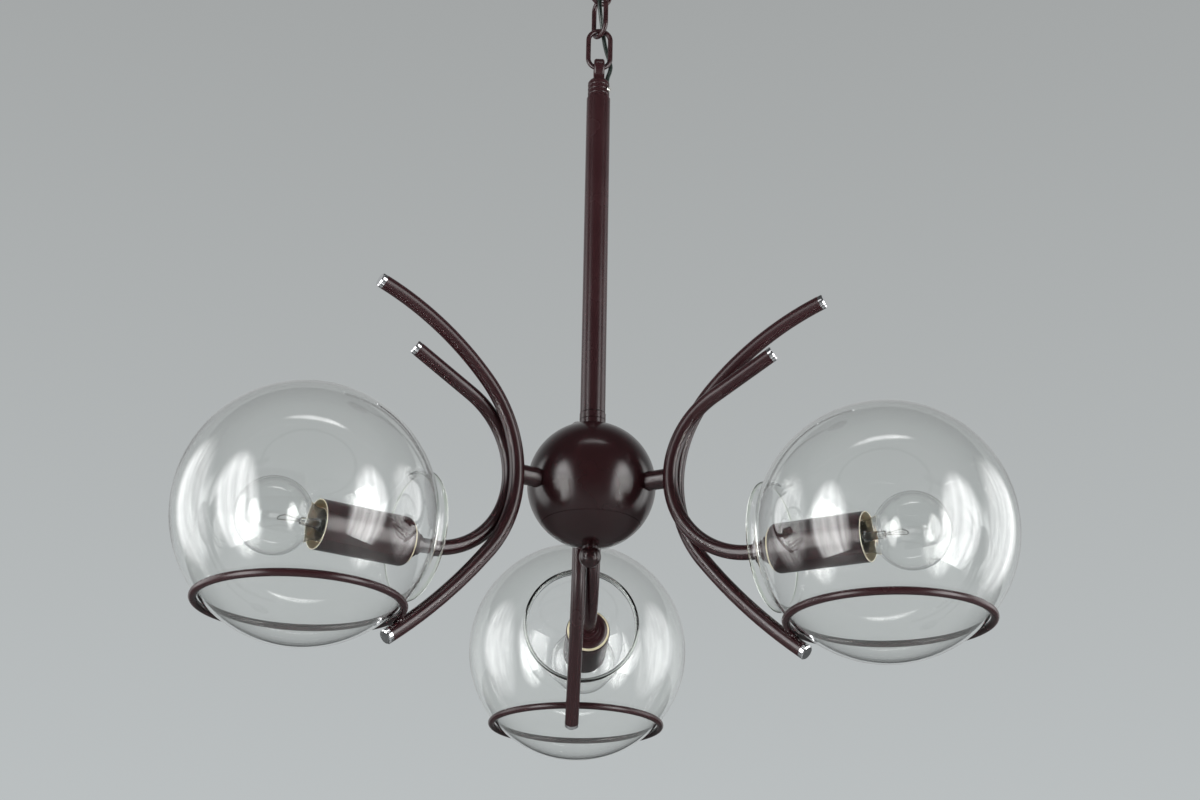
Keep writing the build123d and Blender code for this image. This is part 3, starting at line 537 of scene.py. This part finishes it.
coil_turns = 34
bpy.ops.object.select_all(action="DESELECT")
bpy.ops.mesh.primitive_circle_add(
    vertices=6, radius=0.00007, location=(0.00030, -filament_half, 0), rotation=(0, 0, 0)
)
coil = bpy.context.active_object
coil.name = "coil_pattern"
bpy.ops.object.transform_apply(location=True, rotation=True, scale=True)
spiral = coil.modifiers.new("wind", "SCREW")
spiral.axis = "Y"
spiral.angle = 2 * math.pi * coil_turns
spiral.screw_offset = 2 * filament_half
spiral.steps = 10 * coil_turns
spiral.render_steps = 10 * coil_turns
bpy.ops.object.modifier_apply(modifier=spiral.name)
for vertex in coil.data.vertices:
    vertex.co.x += filament_reach + filament_rise * (1 - (vertex.co.y / filament_half) ** 2)
coil.data.materials.append(tungsten)

bpy.ops.object.select_all(action="DESELECT")
for part in [stem_pattern, coil] + lead_patterns + support_patterns:
    part.select_set(True)
bpy.context.view_layer.objects.active = stem_pattern
bpy.ops.object.join()
mount_pattern = stem_pattern

insulator_back = 0.2100 - bulb_reach
tip_pattern = turned("tip_pattern", (
    [(insulator_back, pole), (insulator_back + 0.0001, 0.0012), (insulator_back + 0.0004, 0.0030)]
    + [(insulator_back + 0.0007, 0.0034), (insulator_back + 0.0008, 0.0038)]
    + [(insulator_back + 0.0012, 0.0046), (insulator_back + 0.0018, 0.0080)]
    + [(insulator_back + 0.0024, base_radius - 0.0024), (insulator_back + 0.0025, pole)]
), around=48)
black_glass = coating("black_glass", (0.020, 0.020, 0.024), (0.034, 0.034, 0.040), 0.10, 0.20)
solder = coating(
    "solder", (0.42, 0.42, 0.43), (0.58, 0.58, 0.58), 0.30, 0.45, cloud=400.0, metal=1.0
)
tip_pattern.data.materials.append(black_glass)
solder_radius = 0.0035
solder_end = insulator_back + 0.0008
paint_faces(
    tip_pattern, solder, lambda face: radius_of(face) < solder_radius and face.center.x < solder_end
)

for arm in arm_numbers:
    for pattern, label, node, slot_name, body in (
        (bulb_pattern, "bulb_envelope", "bulb_glass", "bulb_glass", f"bulb_{arm}"),
        (base_pattern, "bulb_screw_base", "bulb_base", "bulb_base", f"bulb_{arm}"),
        (mount_pattern, "bulb_stem_and_filament", "bulb_mount", "bulb_mount", f"bulb_{arm}"),
        (tip_pattern, "bulb_insulator", "bulb_tip", "bulb_tip", f"bulb_{arm}_tip"),
    ):
        piece = set_on_arm(pattern, f"{label}_{arm}", arm, f"bulb_{arm}_turn")
        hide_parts(f"{node}_{arm}")
        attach(piece, body)
for pattern in (bulb_pattern, base_pattern, mount_pattern, tip_pattern):
    bpy.data.objects.remove(pattern)


# ------------------------------------------------------------ glass globes
# Blown clear globes with one side opening.  The neck is waisted and its lip is turned out and
# fire-polished, so that it is thicker and a little greener than the wall.
globe_radius = 0.0999
globe_wall = 0.0020
inner_radius = globe_radius - globe_wall
mouth = -0.0925
waist_angle = 149.3
inner_angle = 150.3
outer_ball = crown(globe_radius, waist_angle, 72)
outer_lean = math.radians(waist_angle + 90)
outer_neck = eased(
    outer_ball[-1], (0.0055 * math.cos(outer_lean), 0.0055 * math.sin(outer_lean)),
    (mouth, 0.0512), (-0.0018, 0.0045), 10
)
inner_ball = crown(inner_radius, inner_angle, 72)
inner_lean = math.radians(inner_angle + 90)
inner_neck = eased(
    inner_ball[-1], (0.0050 * math.cos(inner_lean), 0.0050 * math.sin(inner_lean)),
    (mouth + 0.0002, 0.0488), (-0.0022, 0.0040), 10
)
lip_centre = (
    (outer_neck[-1][0] + inner_neck[-1][0]) / 2,
    (outer_neck[-1][1] + inner_neck[-1][1]) / 2,
)
lip_radius = math.dist(outer_neck[-1], inner_neck[-1]) / 2
lip = round_off(lip_centre, lip_radius, 90, 270, 10)
globe_pattern = turned(
    "globe_pattern",
    outer_ball + outer_neck[1:-1] + lip + inner_neck[1:-1][::-1] + inner_ball[::-1],
    around=144,
)
globe_clear = clear_glass("globe_clear", (0.982, 0.992, 0.982), 0.00035, 11.0, ior=1.46)
globe_lip = clear_glass("globe_lip", (0.80, 0.87, 0.74), 0.0003, 60.0, ior=1.5)
globe_pattern.data.materials.append(globe_clear)
paint_faces(globe_pattern, globe_lip, lambda face: face.center.x < mouth + 0.0012)
for arm in arm_numbers:
    globe = set_on_arm(globe_pattern, f"blown_globe_{arm}", arm, f"globe_{arm}_turn")
    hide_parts(f"globe_{arm}")
    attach(globe, f"globe_{arm}")
bpy.data.objects.remove(globe_pattern)


# ------------------------------------------------------------ studio
# A light grey floor under the lamp, tall soft lights at its sides, a strip above and a weak front
# fill.  The air behind the lamp is pale and the room in front of it is dim.
floor_drop = 1.15
bpy.ops.object.select_all(action="DESELECT")
bpy.ops.mesh.primitive_plane_add(size=30, location=(0, 0, hub_z - floor_drop))
floor = bpy.context.active_object
floor.name = "studio_floor"
floor_paper = coating("floor_paper", (0.34, 0.35, 0.35), (0.37, 0.38, 0.38), 0.8, 0.9, cloud=2.0)
floor.data.materials.append(floor_paper)

world = bpy.data.worlds.new("studio_air")
bpy.context.scene.world = world
world.use_nodes = True
sky_nodes, sky_links = world.node_tree.nodes, world.node_tree.links
backdrop = sky_nodes["Background"]
sky_place = sky_nodes.new("ShaderNodeTexCoord")
sky_split = sky_nodes.new("ShaderNodeSeparateXYZ")
sky_links.new(sky_place.outputs["Generated"], sky_split.inputs["Vector"])
sky_fade = sky_nodes.new("ShaderNodeValToRGB")
sky_fade.color_ramp.elements[0].position = 0.10
sky_fade.color_ramp.elements[0].color = (0.520, 0.550, 0.558, 1.0)
sky_fade.color_ramp.elements[1].position = 0.60
sky_fade.color_ramp.elements[1].color = (0.350, 0.362, 0.362, 1.0)
sky_links.new(sky_split.outputs["Z"], sky_fade.inputs["Fac"])
sky_links.new(sky_fade.outputs["Color"], backdrop.inputs["Color"])
room_fade = sky_nodes.new("ShaderNodeMapRange")
room_fade.inputs["From Min"].default_value = 0.15
room_fade.inputs["From Max"].default_value = 0.75
room_fade.inputs["To Min"].default_value = 0.07
room_fade.inputs["To Max"].default_value = 0.50
sky_links.new(sky_split.outputs["Y"], room_fade.inputs["Value"])
room = sky_nodes.new("ShaderNodeBackground")
room.inputs["Color"].default_value = (0.97, 1.0, 1.0, 1.0)
sky_links.new(room_fade.outputs["Result"], room.inputs["Strength"])
ray = sky_nodes.new("ShaderNodeLightPath")
seen_through = sky_nodes.new("ShaderNodeMath")
seen_through.operation = "MAXIMUM"
sky_links.new(ray.outputs["Is Camera Ray"], seen_through.inputs[0])
sky_links.new(ray.outputs["Is Transmission Ray"], seen_through.inputs[1])
studio_air = sky_nodes.new("ShaderNodeMixShader")
sky_links.new(seen_through.outputs["Value"], studio_air.inputs["Fac"])
sky_links.new(room.outputs["Background"], studio_air.inputs[1])
sky_links.new(backdrop.outputs["Background"], studio_air.inputs[2])
sky_links.new(studio_air.outputs["Shader"], sky_nodes["World Output"].inputs["Surface"])

hub = Vector((0, 0, hub_z))


def glowing_sheet(name, strength, folds):
    """Light cloth in front of a lamp: brightest in its middle, with soft upright folds."""
    material = bpy.data.materials.new(name)
    material.use_nodes = True
    nodes, links = material.node_tree.nodes, material.node_tree.links
    nodes.remove(nodes["Principled BSDF"])
    glow = nodes.new("ShaderNodeEmission")
    gap = nodes.new("ShaderNodeBsdfTransparent")
    cloth_light = nodes.new("ShaderNodeAddShader")
    links.new(glow.outputs["Emission"], cloth_light.inputs[0])
    links.new(gap.outputs["BSDF"], cloth_light.inputs[1])
    links.new(cloth_light.outputs["Shader"], nodes["Material Output"].inputs["Surface"])
    place = nodes.new("ShaderNodeTexCoord")
    narrow = nodes.new("ShaderNodeMapping")
    narrow.inputs["Scale"].default_value = (folds, folds * 0.06, 1.0)
    links.new(place.outputs["UV"], narrow.inputs["Vector"])
    cloth = nodes.new("ShaderNodeTexNoise")
    cloth.inputs["Scale"].default_value = 1.0
    cloth.inputs["Detail"].default_value = 3.0
    links.new(narrow.outputs["Vector"], cloth.inputs["Vector"])
    contrast = nodes.new("ShaderNodeMapRange")
    contrast.inputs["From Min"].default_value = 0.35
    contrast.inputs["From Max"].default_value = 0.70
    contrast.inputs["To Min"].default_value = 0.40
    contrast.inputs["To Max"].default_value = 1.0
    links.new(cloth.outputs["Fac"], contrast.inputs["Value"])
    middle = nodes.new("ShaderNodeMapping")
    middle.inputs["Location"].default_value = (-1.0, -1.0, 0.0)
    middle.inputs["Scale"].default_value = (2.0, 2.0, 1.0)
    links.new(place.outputs["UV"], middle.inputs["Vector"])
    fade = nodes.new("ShaderNodeTexGradient")
    fade.gradient_type = "SPHERICAL"
    links.new(middle.outputs["Vector"], fade.inputs["Vector"])
    soften = nodes.new("ShaderNodeMapRange")
    soften.interpolation_type = "SMOOTHSTEP"
    soften.inputs["From Max"].default_value = 0.45
    soften.inputs["To Max"].default_value = strength
    links.new(fade.outputs["Fac"], soften.inputs["Value"])
    power = nodes.new("ShaderNodeMath")
    power.operation = "MULTIPLY"
    links.new(contrast.outputs["Result"], power.inputs[0])
    links.new(soften.outputs["Result"], power.inputs[1])
    links.new(power.outputs["Value"], glow.inputs["Strength"])
    return material


for name, place, width, height, strength, folds in (
    ("left_softbox", (-1.60, -1.15, -0.25), 1.5, 3.2, 9.5, 9.0),
    ("right_softbox", (1.60, -1.15, -0.25), 1.5, 3.2, 9.5, 9.0),
    ("left_cloth", (-2.0, 0.35, 0.2), 2.0, 2.6, 3.0, 16.0),
    ("right_cloth", (2.0, 0.35, 0.2), 2.0, 2.6, 3.0, 16.0),
    ("top_softbox", (0.0, -0.9, 2.0), 1.8, 0.22, 6.0, 2.0),
    ("front_fill", (0.0, -2.6, -1.0), 2.0, 1.2, 1.5, 2.0),
):
    bpy.ops.object.select_all(action="DESELECT")
    bpy.ops.mesh.primitive_plane_add(size=1)
    card = bpy.context.active_object
    card.name = name
    card.scale = (width, height, 1)
    card.location = hub + Vector(place)
    card.rotation_euler = Vector(place).to_track_quat("Z", "Y").to_euler()
    card.data.materials.append(glowing_sheet(name, strength, folds))
    card.visible_camera = False
    card.visible_glossy = name != "front_fill"

lens_data = bpy.data.cameras.new("view_camera")
camera = bpy.data.objects.new("view_camera", lens_data)
bpy.context.scene.collection.objects.link(camera)
bpy.context.scene.camera = camera
lens_data.lens = 60.0
camera_offset = Vector((-0.0635, -1.5513, -0.5485))
yaw, pitch, roll = 0.0447, 0.3822, 0.0168
heading = Matrix.Rotation(-yaw, 4, "Z")
tilt = Matrix.Rotation(math.pi / 2 + pitch, 4, "X")
leaning = Matrix.Rotation(roll, 4, "Z")
stand = Matrix.Translation(hub + camera_offset)
camera.matrix_world = stand @ (heading @ tilt @ leaning)
bpy.context.scene.view_settings.view_transform = "Standard"
